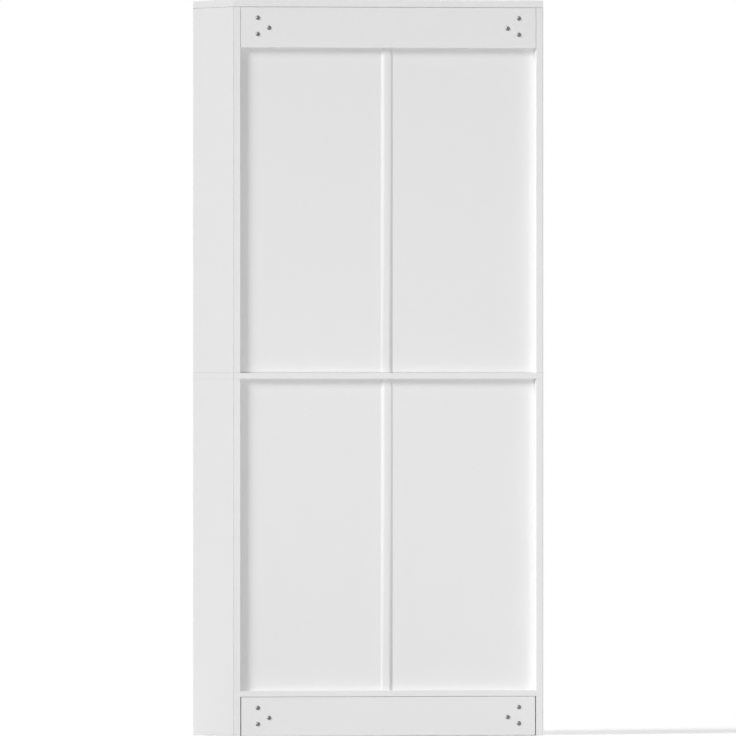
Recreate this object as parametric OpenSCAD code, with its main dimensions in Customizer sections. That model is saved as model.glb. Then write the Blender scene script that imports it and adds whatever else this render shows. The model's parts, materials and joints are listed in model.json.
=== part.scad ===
// Tall bookcase with open shelves above and a pair of framed doors below.
// The case is flat-packed: boards, cam fittings, dowels, grooved back panels and bolted back rails.
// +Z is up, -Y is the front with the doors, +X is the right of someone facing the doors.
// The origin is on the floor, under the middle of the whole object, knobs and bolt heads included.

/* [Case] */
// Width of the case
case_w = 800; // [700:5:1000]
// Height of the case
case_h = 1830; // [1700:5:2000]
// Depth of the case, without the knobs and the bolt heads
case_depth = 380; // [320:5:450]
// Thickness of the four side panels
side_t = 18; // [16:1:22]
// Thickness of the top panel
top_t = 18; // [16:1:25]
// Thickness of the fixed and the adjustable shelves
shelf_t = 15; // [14:1:19]
// Height of the lower side panels, which carry the middle shelf
lower_h = 888; // [820:2:960]
// Height of the underside of the bottom shelf
base_h = 98; // [90:1:130]
// Thickness of the plinth board
plinth_t = 15; // [14:1:18]
// How far the plinth stands back from the front of the case
plinth_set = 12; // [0:1:40]

/* [Back] */
// Thickness of both back rails, which is also how deep the back panels lie
rail_t = 18; // [15:1:22]
// Height of the top back rail
top_rail_h = 100.5; // [90:0.5:130]
// Gap around a back rail that is only a visible seam
rail_seam = 0.5; // [0.3:0.1:0.9]
// Gap at each end of the bottom back rail
rail_end_gap = 3; // [1:0.5:6]
// Gap between the floor and the bottom back rail or the plinth
foot_gap = 1; // [0.5:0.5:8]
// Thickness of the four back panels
panel_t = 3; // [2.5:0.5:4]
// Depth of the grooves that hold the back panels
groove_depth = 4.5; // [3.5:0.5:5.5]
// Play between a back panel and each wall of its groove
groove_play = 0.15; // [0.1:0.05:0.3]
// Width of the rounded face of a joiner strip
strip_w = 26; // [22:1:30]
// How far the joiner strip stands off the back panels
strip_h = 3.5; // [3:0.5:5]
// Width of each sloping shoulder of the joiner strip, beside its flat middle
strip_shoulder = 10; // [6:0.5:10]
// Wall of the joiner strip's web and front flange
strip_wall = 1.2; // [1:0.1:1.6]

/* [Rail bolts and brackets] */
// Diameter of a rail bolt's domed head
bolt_head_d = 11; // [10:0.5:13]
// Height of a rail bolt's domed head
bolt_head_h = 3; // [2:0.5:4]
// Shank diameter of a rail bolt
bolt_d = 6; // [5:0.5:6.5]
// Length of a rail bolt under its head
bolt_len = 26; // [25:1:32]
// Distance of the two outer bolts of a rail end from the side panel
bolt_pair_in = 45; // [38:1:52]
// Distance of the inner bolt of a rail end from the side panel
bolt_tip_in = 74; // [68:1:90]
// Drop of the upper bolt below the top edge of its rail
bolt_upper_drop = 26.5; // [22:0.5:30]
// Drop of the inner bolt below the top edge of its rail
bolt_tip_drop = 51.5; // [46:0.5:54]
// Drop of the lower bolt below the top edge of its rail
bolt_lower_drop = 67; // [62:0.5:70]
// Sheet thickness of the steel brackets behind the bolts
bracket_t = 3; // [2:0.5:4]
// Metal around the bolts of a bracket
bracket_margin = 12; // [9:1:14]
// Length of the bracket's leg along the side panel
bracket_leg = 34; // [30:1:40]
// Outer radius of the bracket's bend
bend_r = 5; // [4.5:0.5:7]

/* [Doors] */
// Thickness of the door frames
door_t = 18; // [16:1:22]
// Width of the stiles and the rails of a door
frame_w = 60; // [50:1:80]
// Thickness of the door panel and of the tongues
door_panel_t = 6; // [5:0.5:8]
// Depth of the grooves in the door frame
door_groove_depth = 10; // [8:0.5:12]
// Play of the tongues and the door panel in the groove
door_play = 0.1; // [0.05:0.05:0.2]
// Gap above and below a door
door_gap = 2.5; // [2:0.5:4]
// Gap between the two doors
meeting_gap = 3; // [2.5:0.5:5]
// Diameter of the knobs
knob_d = 30; // [24:1:36]
// How far a knob stands off its door
knob_out = 26; // [22:1:32]
// Height of a knob below the top edge of its door
knob_drop = 190; // [120:5:300]

/* [Hinges] */
// Gap between a side panel and the edge of its door
hinge_gap = 2; // [1.6:0.1:2.2]
// Height of a hinge
hinge_h = 60; // [50:5:80]
// Distance of a hinge's middle from the end of the door
hinge_in = 110; // [80:5:150]
// Outer diameter of the hinge barrel
barrel_d = 7; // [6.6:0.1:8]
// Diameter of the hinge pin
hinge_pin_d = 4; // [3.6:0.1:4.2]
// Radial running clearance of the pin in its knuckles
pin_play = 0.05; // [0.03:0.01:0.08]
// Thickness of a hinge leaf
leaf_t = 1.5; // [1.3:0.1:1.8]
// Gap between the two closed leaves
leaf_gap = 0.8; // [0.6:0.1:1]
// How far a leaf reaches back from the front of the case
leaf_w = 14; // [12:0.5:14.5]
// Clearance between a knuckle and its neighbours
knuckle_play = 0.3; // [0.2:0.05:0.4]

/* [Shelf pins] */
// Diameter of a shelf pin's shank
shelf_pin_d = 5; // [4:0.5:6]
// Depth of a shelf pin hole
pin_hole_depth = 10; // [8:1:12]
// Distance between two shelf pin holes
pin_pitch = 32; // [25:1:40]
// Distance of the front row of pins from the front edge of its shelf
pin_front_in = 50; // [35:5:80]
// Distance of the rear row of pins from the back panels
pin_back_in = 50; // [35:5:80]
// Gap between an adjustable shelf and each side panel
shelf_end_gap = 1; // [0.5:0.1:1.5]
// How far the upper adjustable shelves stand back from the front
upper_shelf_set = 10; // [0:1:40]
// How far the lower adjustable shelf stands back from the doors
lower_shelf_set = 25; // [22:1:60]

/* [Fittings] */
// Diameter of a cam lock
cam_d = 15; // [12:1:15]
// Height of a cam lock
cam_h = 12; // [11:0.5:12.5]
// Distance of a cam lock's middle from the end of its board
cam_set = 24; // [22:1:34]
// Distance of the cam locks from the front and the back of the case
cam_in = 75; // [70:1:90]
// Distance from a cam lock to the next dowel
dowel_step = 42; // [32:1:55]
// Diameter of the wood dowels
dowel_d = 8; // [6:1:8]
// Radial play of a fitting in its hole
fit_play = 0.1; // [0.05:0.05:0.2]

/* [Catch] */
// Width of the double magnetic catch
catch_w = 62; // [54:1:80]
// Depth of the catch
catch_depth = 18; // [16:1:24]
// Height of the catch
catch_h = 14; // [13:1:18]
// Thickness of the strike plates on the doors
strike_t = 1.2; // [1:0.1:1.6]
// Gap between the catch and the strike plates
catch_gap = 0.3; // [0.2:0.1:0.5]

/* [Hidden] */
$fn = 48;
cut = 1; // how far a cutting tool runs past the face it cuts
paint = "white";
steel = "silver";

// Main planes of the case
half_w = case_w / 2;
inner_x = half_w - side_t;
y_back = (knob_out + case_depth - bolt_head_h) / 2; // the box runs from the knobs to the bolt heads
y_front = y_back - case_depth;
y_panel_back = y_back - rail_t;
y_panel_front = y_panel_back - panel_t;
y_groove = [y_panel_front - groove_play, y_panel_back + groove_play];
z_floor_top = base_h + shelf_t;
z_mid_top = lower_h + shelf_t;
z_top = case_h - top_t;
z_top_rail = z_top - rail_seam;
z_bottom_rail = base_h - rail_seam;
z_strip_top = z_top_rail - top_rail_h - groove_play;

// Panels sit short of the groove's floor and of the joiner strip's web by this much
panel_end_gap = 0.5;
panel_outer_x = inner_x + groove_depth - panel_end_gap;
panel_inner_x = strip_wall / 2 + panel_end_gap;

// Bolts of one rail end: distance from the side panel, drop below the rail's top edge
bolt_places = [
    [bolt_pair_in, bolt_upper_drop],
    [bolt_tip_in, bolt_tip_drop],
    [bolt_pair_in, bolt_lower_drop],
];
bolt_hole_r = bolt_d / 2 + 2 * fit_play;
thread_play = 0.05;
bracket_screw_in = 0.6 * bracket_leg;
bracket_screw_head_r = 3.6;
bracket_screw_r = 1.8;
bracket_screw_len = 16;

// Cam fittings and dowels along the depth of the case
cam_ys = [y_front + cam_in, y_back - cam_in];
dowel_ys = [y_front + cam_in + dowel_step, y_back - cam_in - dowel_step];
cam_hole_depth = cam_h + 0.4;
cam_bolt_r = 3;
cam_bolt_head_r = 3.4;
cam_bolt_thread = 11;
cam_pilot_r = 2.5;
cam_pilot_depth = cam_bolt_thread + 0.5;
cam_bolt_bore_r = 4;
dowel_long = 20;
dowel_short = 9.5;
dowel_end_gap = 0.5;
side_mid_x = inner_x + side_t / 2;
z_shelf_mid = base_h + shelf_t / 2;
plinth_y = y_front + plinth_set;
plinth_cam_z = 0.64 * base_h;
plinth_dowel_z = 0.3 * base_h;

// Adjustable shelves stand at even heights
upper_space = (z_top - z_mid_top - 2 * shelf_t) / 3;
lower_space = (lower_h - z_floor_top - shelf_t) / 2;
z_upper_low = z_mid_top + upper_space;
z_upper_high = z_upper_low + shelf_t + upper_space;
z_lower = z_floor_top + lower_space;
peg_r = 3.5;
peg_flat = 2.5;
peg_out = 9;
pin_depth = pin_hole_depth - 1;
pin_steps = [-2, -1, 0, 1, 2];
strip_front = strip_wall + groove_play;
shelf_back_gap = 0.5;
shelf_back_y = y_panel_front - strip_front - shelf_back_gap;
upper_front_y = y_front + upper_shelf_set;
lower_front_y = y_front + door_t + lower_shelf_set;
y_pin_back = y_panel_front - pin_back_in;

// Door openings, hinge axes and knuckles
door_z0 = z_floor_top + door_gap;
door_z1 = lower_h - door_gap;
door_x0 = meeting_gap / 2;
door_x1 = inner_x - hinge_gap;
door_y1 = y_front + door_t;
barrel_r = barrel_d / 2;
barrel_off = barrel_r + 0.5;
hinge_x = inner_x - hinge_gap / 2;
hinge_y = y_front - barrel_off;
hinge_zs = [door_z0 + hinge_in, door_z1 - hinge_in];
knuckle_h = hinge_h / 5;
hinge_bore_r = hinge_pin_d / 2 + pin_play;
mortise_depth = leaf_t + leaf_gap / 2 - hinge_gap / 2;
hinge_screw_r = 1.5;
hinge_screw_head_r = 2.8;
hinge_screw_len = 13;
hinge_screw_steps = [-hinge_h / 3, 0, hinge_h / 3];
hinge_screw_y = y_front + leaf_w - 4; // the middle screw stands 3 mm nearer to the pin
hinge_screw_ys = [hinge_screw_y, hinge_screw_y - 3, hinge_screw_y];
pin_head_h = 1.5;
door_tongue = door_groove_depth - 0.5;
door_slot = [y_front + (door_t - door_panel_t) / 2, y_front + (door_t + door_panel_t) / 2];
door_slot_cut = [door_slot[0] - door_play, door_slot[1] + door_play];
door_panel_reach = door_tongue - 0.5;
rail_x0 = door_x0 + frame_w;
rail_x1 = door_x1 - frame_w;
knob_x = door_x0 + frame_w / 2;
knob_z = door_z1 - knob_drop;
knob_screw_r = 2;
knob_thread = 11;

// Magnetic catch and strike plates
catch_y0 = door_y1 + strike_t + catch_gap;
catch_x = catch_w / 4;
catch_z = lower_h - catch_h / 2;
strike_w = 22;
strike_h = 13;
strike_z = door_z1 - strike_h / 2 - 0.5;
magnet_w = 18;
magnet_h = 8;
magnet_depth = 4;
catch_screw_x = catch_w / 2 - 5;
catch_screw_head_r = 2.8;
catch_screw_r = 1.5;
catch_screw_len = catch_h + 0.7 * shelf_t;
strike_screw_head_r = 2.8;
strike_screw_r = 1.4;
strike_screw_len = 10;

// Box between two corners
module block(x, y, z) {
    translate([x[0], y[0], z[0]])
        cube([x[1] - x[0], y[1] - y[0], z[1] - z[0]]);
}

// Round bars along the axes, from a starting point
module bar_x(r, h, at) {
    translate(at)
        rotate([0, 90, 0])
            cylinder(r = r, h = h);
}

module bar_y(r, h, at) {
    translate(at)
        rotate([-90, 0, 0])
            cylinder(r = r, h = h);
}

module bar_z(r, h, at) {
    translate(at)
        cylinder(r = r, h = h);
}

// Every side is drawn on the right and mirrored to the left
module on_side(s) {
    if (s > 0)
        children();
    else
        mirror([1, 0, 0])
            children();
}

module on_both_sides() {
    for (s = [1, -1])
        on_side(s)
            children();
}

// Groove for the back panels in the face of a horizontal board
module shelf_groove(z) {
    block([-inner_x - groove_depth, inner_x + groove_depth], y_groove, z);
}

// Countersunk wood screw, head up at z = 0, tip at z = -len
module wood_screw(head_r, shank_r, len) {
    rotate_extrude()
        polygon([
            [0, 0], [head_r, 0], [shank_r, shank_r - head_r],
            [shank_r, -len + 2 * shank_r], [0, -len],
        ]);
}

// Seat of a countersunk screw: the cone and a hole past the tip
module screw_seat(head_r, shank_r, len) {
    rotate_extrude()
        polygon([
            [0, cut], [head_r + thread_play + cut, cut], [shank_r + thread_play, shank_r - head_r],
            [shank_r + thread_play, -len - cut], [0, -len - cut],
        ]);
}

// Bolt with a ball head that a cam lock grips: it starts at z = 0 and its head is at z = reach
module cam_bolt_end(reach) {
    neck_r = cam_bolt_r - 1;
    neck_len = 3;
    bevel = 1;
    z_ball = [reach - 1, reach + 1];
    z_neck = [z_ball[0] - bevel - neck_len, z_ball[0] - bevel];
    rotate_extrude()
        polygon([
            [0, 0], [cam_bolt_r, 0], [cam_bolt_r, z_neck[0] - bevel], [neck_r, z_neck[0]],
            [neck_r, z_neck[1]], [cam_bolt_head_r, z_ball[0]], [cam_bolt_head_r, z_ball[1]],
            [neck_r, z_ball[1] + bevel], [0, z_ball[1] + bevel],
        ]);
}

// Single bolt: its thread goes into the next board, below z = 0
module cam_bolt() {
    union() {
        cam_bolt_end(cam_set);
        bar_z(cam_pilot_r - thread_play, cam_bolt_thread + 0.5, [0, 0, -cam_bolt_thread]);
    }
}

// Cam lock with its face at z = 0, its body below, its mouth towards +X and a cross slot
module cam_lock(bolt_depth) {
    mouth_r = cam_bolt_head_r + 0.8;
    slot_len = 8;
    slot_w = 1.4;
    slot_depth = 2.5;
    difference() {
        bar_z(cam_d / 2 - fit_play, cam_h, [0, 0, -cam_h]);
        bar_x(mouth_r, cam_d, [-mouth_r, 0, -bolt_depth]);
        for (turn = [0, 90])
            rotate([0, 0, turn])
                block([-slot_len / 2, slot_len / 2], [-slot_w / 2, slot_w / 2], [-slot_depth, cut]);
    }
}

// Holes that a single cam bolt and its cam need: bolt bore along +X into the board, pocket from +Z
module cam_pocket(bolt_depth) {
    union() {
        bar_z(cam_d / 2, cam_hole_depth + cut, [0, 0, -cam_hole_depth]);
        bar_x(cam_bolt_bore_r, cam_set + cut, [0, 0, -bolt_depth]);
    }
}

// Places one cam on the inner face of an upright board: its mouth looks to the board's end
module on_inner_face(y, z, up) {
    translate([inner_x, y, z])
        rotate([0, -90, 0])
            rotate([0, 0, up > 0 ? 0 : 180])
                children();
}

// Holes in the edge of a side panel for one joint at its top (up = 1) or bottom end (up = -1)
module side_end_joint(z_end, up) {
    for (y = cam_ys)
        on_inner_face(y, z_end - up * cam_set, up)
            cam_pocket(side_t / 2);
    for (y = dowel_ys)
        bar_z(
            dowel_d / 2 + fit_play / 2, dowel_long + dowel_end_gap + cut,
            [side_mid_x, y, up > 0 ? z_end - dowel_long - dowel_end_gap : z_end - cut]
        );
}

// Row of shelf pin holes in the right side panel round one shelf
module pin_holes(z_shelf, y_first) {
    for (y = [y_first, y_pin_back], step = pin_steps)
        bar_x(
            shelf_pin_d / 2, pin_hole_depth + cut,
            [inner_x - cut, y, z_shelf - peg_flat + step * pin_pitch]
        );
}

// Pilot holes in a side panel for one bracket's two screws
module bracket_pilots(z_rail, y_face) {
    for (drop = [bolt_upper_drop, bolt_lower_drop])
        translate([inner_x - bracket_t, y_face - bracket_screw_in, z_rail - drop])
            rotate([0, -90, 0])
                screw_seat(bracket_screw_head_r, bracket_screw_r, bracket_screw_len);
}

// Right upper side panel
module upper_side() {
    color(paint)
        difference() {
            block([inner_x, half_w], [y_front, y_back], [z_mid_top, z_top]);
            block([inner_x - cut, inner_x + groove_depth], y_groove, [z_mid_top - cut, z_top + cut]);
            side_end_joint(z_top, 1);
            side_end_joint(z_mid_top, -1);
            pin_holes(z_upper_low, upper_front_y + pin_front_in);
            pin_holes(z_upper_high, upper_front_y + pin_front_in);
            bracket_pilots(z_top_rail, y_panel_front);
        }
}

// Right lower side panel, with the seats of the bottom shelf, the plinth and the hinges
module lower_side() {
    color(paint)
        difference() {
            block([inner_x, half_w], [y_front, y_back], [0, lower_h]);
            block([inner_x - cut, inner_x + groove_depth], y_groove, [base_h, lower_h + cut]);
            side_end_joint(lower_h, 1);
            for (y = cam_ys)
                bar_x(cam_pilot_r, cam_pilot_depth + cut, [inner_x - cut, y, z_shelf_mid]);
            for (y = dowel_ys)
                side_dowel_hole(y, z_shelf_mid);
            bar_x(
                cam_pilot_r, cam_pilot_depth + cut,
                [inner_x - cut, plinth_y + plinth_t / 2, plinth_cam_z]
            );
            side_dowel_hole(plinth_y + plinth_t / 2, plinth_dowel_z);
            pin_holes(z_lower, lower_front_y + pin_front_in);
            bracket_pilots(z_bottom_rail, y_panel_back);
            for (z = hinge_zs) {
                block(
                    [inner_x - cut, inner_x + mortise_depth], [y_front - cut, y_front + leaf_w],
                    [z - hinge_h / 2, z + hinge_h / 2]
                );
                case_leaf_screws(z)
                    screw_seat(hinge_screw_head_r, hinge_screw_r, hinge_screw_len);
            }
        }
}

module side_dowel_hole(y, z) {
    bar_x(dowel_d / 2 + fit_play / 2, dowel_short + dowel_end_gap + cut, [inner_x - cut, y, z]);
}

// Top panel over both upper sides
module top_panel() {
    color(paint)
        difference() {
            block([-half_w, half_w], [y_front, y_back], [z_top, case_h]);
            shelf_groove([z_top - cut, z_top + groove_depth]);
            on_both_sides() {
                for (y = cam_ys)
                    bar_z(cam_pilot_r, cam_pilot_depth + cut, [side_mid_x, y, z_top - cut]);
                for (y = dowel_ys)
                    bar_z(
                        dowel_d / 2 + fit_play / 2, dowel_short + dowel_end_gap + cut,
                        [side_mid_x, y, z_top - cut]
                    );
            }
        }
}

// Middle shelf, clamped between the upper and the lower sides
module middle_shelf() {
    color(paint)
        difference() {
            block([-half_w, half_w], [y_front, y_back], [lower_h, z_mid_top]);
            shelf_groove([z_mid_top - groove_depth, z_mid_top + cut]);
            shelf_groove([lower_h - cut, lower_h + groove_depth]);
            on_both_sides() {
                for (y = cam_ys)
                    bar_z(cam_bolt_r + fit_play, shelf_t + 2 * cut, [side_mid_x, y, lower_h - cut]);
                for (y = dowel_ys)
                    bar_z(
                        dowel_d / 2 + fit_play / 2, shelf_t + 2 * cut,
                        [side_mid_x, y, lower_h - cut]
                    );
                translate([catch_screw_x, catch_y0 + catch_depth / 2, lower_h - catch_h])
                    rotate([180, 0, 0])
                        screw_seat(catch_screw_head_r, catch_screw_r, catch_screw_len);
            }
        }
}

// Bottom shelf between the lower sides
module bottom_shelf() {
    color(paint)
        difference() {
            block([-inner_x, inner_x], [y_front, y_back], [base_h, z_floor_top]);
            shelf_groove([z_floor_top - groove_depth, z_floor_top + cut]);
            on_both_sides() {
                for (y = cam_ys)
                    translate([inner_x - cam_set, y, base_h])
                        mirror([0, 0, 1])
                            cam_pocket(shelf_t / 2);
                for (y = dowel_ys)
                    board_dowel_hole(y, z_shelf_mid);
            }
        }
}

module board_dowel_hole(y, z) {
    bar_x(
        dowel_d / 2 + fit_play / 2, dowel_long + dowel_end_gap + cut,
        [inner_x - dowel_long - dowel_end_gap, y, z]
    );
}

// Plinth under the front of the bottom shelf
module front_plinth() {
    color(paint)
        difference() {
            block([-inner_x, inner_x], [plinth_y, plinth_y + plinth_t], [foot_gap, base_h]);
            on_both_sides() {
                translate([inner_x - cam_set, plinth_y + plinth_t, plinth_cam_z])
                    rotate([-90, 0, 0])
                        cam_pocket(plinth_t / 2);
                board_dowel_hole(plinth_y + plinth_t / 2, plinth_dowel_z);
            }
        }
}

// Back rail under z_rail, with the holes for its bolts
module back_rail(z_rail, height, end_gap) {
    color(paint)
        difference() {
            block(
                [-inner_x + end_gap, inner_x - end_gap], [y_panel_back, y_back],
                [z_rail - height, z_rail]
            );
            on_both_sides()
                bolt_holes(z_rail, bolt_hole_r);
        }
}

module bolt_holes(z_rail, r) {
    for (place = bolt_places)
        bar_y(
            r, rail_t + panel_t + bracket_t + 3 * cut,
            [inner_x - place[0], y_panel_front - bracket_t - cut, z_rail - place[1]]
        );
}

module back_rail_top() {
    back_rail(z_top_rail, top_rail_h, rail_seam);
}

module back_rail_bottom() {
    back_rail(z_bottom_rail, z_bottom_rail - foot_gap, rail_end_gap);
}

// Back panel on the right, from groove to groove
module back_panel(z0, z1) {
    block([panel_inner_x, panel_outer_x], [y_panel_front, y_panel_back], [z0, z1]);
}

module upper_back_panel() {
    color(paint)
        difference() {
            back_panel(
                z_mid_top - groove_depth + panel_end_gap, z_top + groove_depth - panel_end_gap
            );
            bolt_holes(z_top_rail, bolt_hole_r);
        }
}

module lower_back_panel() {
    color(paint)
        back_panel(
            z_floor_top - groove_depth + panel_end_gap, lower_h + groove_depth - panel_end_gap
        );
}

// Section of the joiner strip: a flat flange inside, a web, and a flange with gently rounded
// shoulders on the back; the panels slide into the two slots between them
module strip_section() {
    face_h = strip_h - groove_play;
    edge_h = 0.4 * strip_h; // upright edge under each shoulder
    crease = 0.02; // the shoulders rise this much past the flat, which cuts them off
    rise = face_h + crease - edge_h;
    shoulder_r = (strip_shoulder ^ 2 + rise ^ 2) / (2 * rise);
    y_slot = y_groove[1];
    y_round = y_slot + face_h + crease - shoulder_r;
    union() {
        translate([-strip_w / 2, y_groove[0] - strip_wall])
            square([strip_w, strip_wall]);
        translate([-strip_wall / 2, y_groove[0] - strip_wall / 2])
            square([strip_wall, y_slot - y_groove[0] + strip_wall]);
        intersection() {
            union() {
                for (s = [-1, 1])
                    translate([s * (strip_w / 2 - strip_shoulder), y_round])
                        circle(r = shoulder_r, $fn = 5 * $fn);
                translate([strip_shoulder - strip_w / 2, y_slot - cut])
                    square([strip_w - 2 * strip_shoulder, face_h + 2 * cut]);
            }
            translate([-strip_w / 2, y_slot])
                square([strip_w, face_h]);
        }
    }
}

module joiner_strip(z0, z1) {
    translate([0, 0, z0])
        linear_extrude(z1 - z0)
            strip_section();
}

// The upper strip loses its back flange behind the top rail, and runs on to the top panel
module joiner_strip_upper() {
    z_end = z_top - groove_play;
    color(paint)
        union() {
            joiner_strip(z_mid_top, z_strip_top);
            block(
                [-strip_w / 2, strip_w / 2], [y_groove[0] - strip_wall, y_groove[0]],
                [z_strip_top, z_end]
            );
            block(
                [-strip_wall / 2, strip_wall / 2], [y_groove[0] - strip_wall / 2, y_panel_back],
                [z_strip_top, z_end]
            );
        }
}

module joiner_strip_lower() {
    color(paint)
        joiner_strip(z_floor_top, lower_h - groove_play);
}

// Steel angle behind one rail end: a tapered leg behind the bolts, a bend, a leg on the side
module rail_bracket(z_rail, y_face) {
    z_high = z_rail - bolt_upper_drop + bracket_margin;
    z_low = z_rail - bolt_lower_drop - bracket_margin;
    z_tip = z_rail - bolt_tip_drop;
    x_pair = inner_x - bolt_pair_in - bracket_margin;
    x_tip = inner_x - bolt_tip_in - bracket_margin;
    x_bend = inner_x - bend_r;
    tip_half_h = bracket_margin - 2;
    color(steel)
        difference() {
            union() {
                translate([0, y_face, 0])
                    rotate([90, 0, 0])
                        linear_extrude(bracket_t)
                            polygon([
                                [x_bend, z_low], [x_bend, z_high], [x_pair, z_high],
                                [x_tip, z_tip + tip_half_h], [x_tip, z_tip - tip_half_h],
                                [x_pair, z_low],
                            ]);
                translate([x_bend, y_face - bend_r, z_low])
                    rotate_extrude(angle = 90)
                        translate([bend_r - bracket_t, 0])
                            square([bracket_t, z_high - z_low]);
                block(
                    [inner_x - bracket_t, inner_x], [y_face - bracket_leg, y_face - bend_r],
                    [z_low, z_high]
                );
            }
            bolt_holes(z_rail, bolt_d / 2);
            bracket_pilots(z_rail, y_face);
        }
}

module top_rail_bracket() {
    rail_bracket(z_top_rail, y_panel_front);
}

module bottom_rail_bracket() {
    rail_bracket(z_bottom_rail, y_panel_back);
}

// Machine bolt with a domed head and a hexagon socket, head outwards at z = 0
module rail_bolt() {
    rim = 0.8;
    crown = 0.5; // what the flat round the socket takes off the dome
    dome_h = bolt_head_h + crown - rim;
    dome_r = ((bolt_head_d / 2) ^ 2 + dome_h ^ 2) / (2 * dome_h);
    socket_r = 2.3;
    socket_floor = 1;
    difference() {
        rotate_extrude()
            union() {
                intersection() {
                    translate([0, rim + dome_h - dome_r])
                        circle(r = dome_r);
                    square([bolt_head_d / 2, bolt_head_h]);
                }
                translate([0, -bolt_len])
                    square([bolt_d / 2 - thread_play, bolt_len + rim]);
            }
        translate([0, 0, socket_floor])
            cylinder(r = socket_r, h = bolt_head_h, $fn = 6);
    }
}

module rail_bolts() {
    color(steel)
        on_both_sides()
            for (z_rail = [z_top_rail, z_bottom_rail], place = bolt_places)
                translate([inner_x - place[0], y_back, z_rail - place[1]])
                    rotate([-90, 0, 0])
                        rail_bolt();
}

module bracket_screws() {
    color(steel)
        on_both_sides()
            for (seat = [[z_top_rail, y_panel_front], [z_bottom_rail, y_panel_back]])
                for (drop = [bolt_upper_drop, bolt_lower_drop])
                    translate([
                        inner_x - bracket_t, seat[1] - bracket_screw_in, seat[0] - drop
                    ])
                        rotate([0, -90, 0])
                            wood_screw(bracket_screw_head_r, bracket_screw_r, bracket_screw_len);
}

// Loose shelf on four pins
module adjustable_shelf(y0, z0) {
    color(paint)
        block(
            [-inner_x + shelf_end_gap, inner_x - shelf_end_gap], [y0, shelf_back_y],
            [z0, z0 + shelf_t]
        );
}

// Shelf pin: a shank in the side panel and a thicker peg with a flat for the shelf
module shelf_pin() {
    union() {
        bar_x(shelf_pin_d / 2 - thread_play, pin_depth + cut, [inner_x - cut, 0, 0]);
        difference() {
            bar_x(peg_r, peg_out, [inner_x - peg_out, 0, 0]);
            block(
                [inner_x - peg_out - cut, inner_x + cut], [-peg_r - cut, peg_r + cut],
                [peg_flat, peg_r + cut]
            );
        }
    }
}

module shelf_pins() {
    color(steel)
        on_both_sides()
            for (shelf = [
                [z_upper_low, upper_front_y], [z_upper_high, upper_front_y], [z_lower, lower_front_y]
            ])
                for (y = [shelf[1] + pin_front_in, y_pin_back])
                    translate([0, y, shelf[0] - peg_flat])
                        shelf_pin();
}

module cam_locks() {
    color(steel)
        on_both_sides() {
            for (y = cam_ys) {
                on_inner_face(y, z_top - cam_set, 1)
                    cam_lock(side_t / 2);
                on_inner_face(y, z_mid_top + cam_set, -1)
                    cam_lock(side_t / 2);
                on_inner_face(y, lower_h - cam_set, 1)
                    cam_lock(side_t / 2);
                translate([inner_x - cam_set, y, base_h])
                    mirror([0, 0, 1])
                        cam_lock(shelf_t / 2);
            }
            translate([inner_x - cam_set, plinth_y + plinth_t, plinth_cam_z])
                rotate([-90, 0, 0])
                    cam_lock(plinth_t / 2);
        }
}

module cam_bolts() {
    color(steel)
        on_both_sides() {
            for (y = cam_ys) {
                translate([side_mid_x, y, z_top])
                    mirror([0, 0, 1])
                        cam_bolt();
                translate([inner_x, y, z_shelf_mid])
                    rotate([0, -90, 0])
                        cam_bolt();
            }
            translate([inner_x, plinth_y + plinth_t / 2, plinth_cam_z])
                rotate([0, -90, 0])
                    cam_bolt();
        }
}

// Double-ended bolts that clamp the middle shelf between the sides
module through_bolts() {
    color(steel)
        on_both_sides()
            for (y = cam_ys)
                translate([side_mid_x, y, lower_h + shelf_t / 2])
                    union() {
                        cam_bolt_end(shelf_t / 2 + cam_set);
                        mirror([0, 0, 1])
                            cam_bolt_end(shelf_t / 2 + cam_set);
                    }
}

module wood_dowels() {
    color("burlywood")
        on_both_sides() {
            for (y = dowel_ys) {
                bar_z(
                    dowel_d / 2, dowel_long + dowel_short, [side_mid_x, y, z_top - dowel_long]
                );
                bar_z(
                    dowel_d / 2, 2 * dowel_long + shelf_t, [side_mid_x, y, lower_h - dowel_long]
                );
                board_dowel(y, z_shelf_mid);
            }
            board_dowel(plinth_y + plinth_t / 2, plinth_dowel_z);
        }
}

module board_dowel(y, z) {
    bar_x(dowel_d / 2, dowel_long + dowel_short, [inner_x - dowel_long, y, z]);
}

// Butt hinge drawn round its pin at x = 0, y = 0, with its middle at z = 0.
// A leaf keeps the knuckles in its own list and is cut back round the others.
module hinge_leaf(own, others) {
    difference() {
        union() {
            block([leaf_gap / 2, leaf_gap / 2 + leaf_t], [0, barrel_off + leaf_w], [
                -hinge_h / 2, hinge_h / 2
            ]);
            for (k = own)
                bar_z(
                    barrel_r, knuckle_h - knuckle_play / 2,
                    [0, 0, (k - 0.5) * knuckle_h + knuckle_play / 4]
                );
        }
        bar_z(hinge_bore_r, hinge_h + 2 * cut, [0, 0, -hinge_h / 2 - cut]);
        for (k = others)
            bar_z(
                barrel_r + knuckle_play, knuckle_h + knuckle_play,
                [0, 0, (k - 0.5) * knuckle_h - knuckle_play / 2]
            );
    }
}

// Screws of a hinge leaf at height z: on the case, and mirrored about the pin on the door
module case_leaf_screws(z) {
    for (i = [0, 1, 2])
        translate([hinge_x + leaf_gap / 2, hinge_screw_ys[i], z + hinge_screw_steps[i]])
            rotate([0, -90, 0])
                children();
}

module door_leaf_screws(z) {
    for (i = [0, 1, 2])
        translate([hinge_x - leaf_gap / 2, hinge_screw_ys[i], z + hinge_screw_steps[i]])
            rotate([0, 90, 0])
                children();
}

module case_hinge_leaves() {
    color(steel)
        on_both_sides()
            for (z = hinge_zs)
                difference() {
                    translate([hinge_x, hinge_y, z])
                        hinge_leaf([-2, 0, 2], [-1, 1]);
                    case_leaf_screws(z)
                        screw_seat(hinge_screw_head_r, hinge_screw_r, hinge_screw_len);
                }
}

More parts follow.
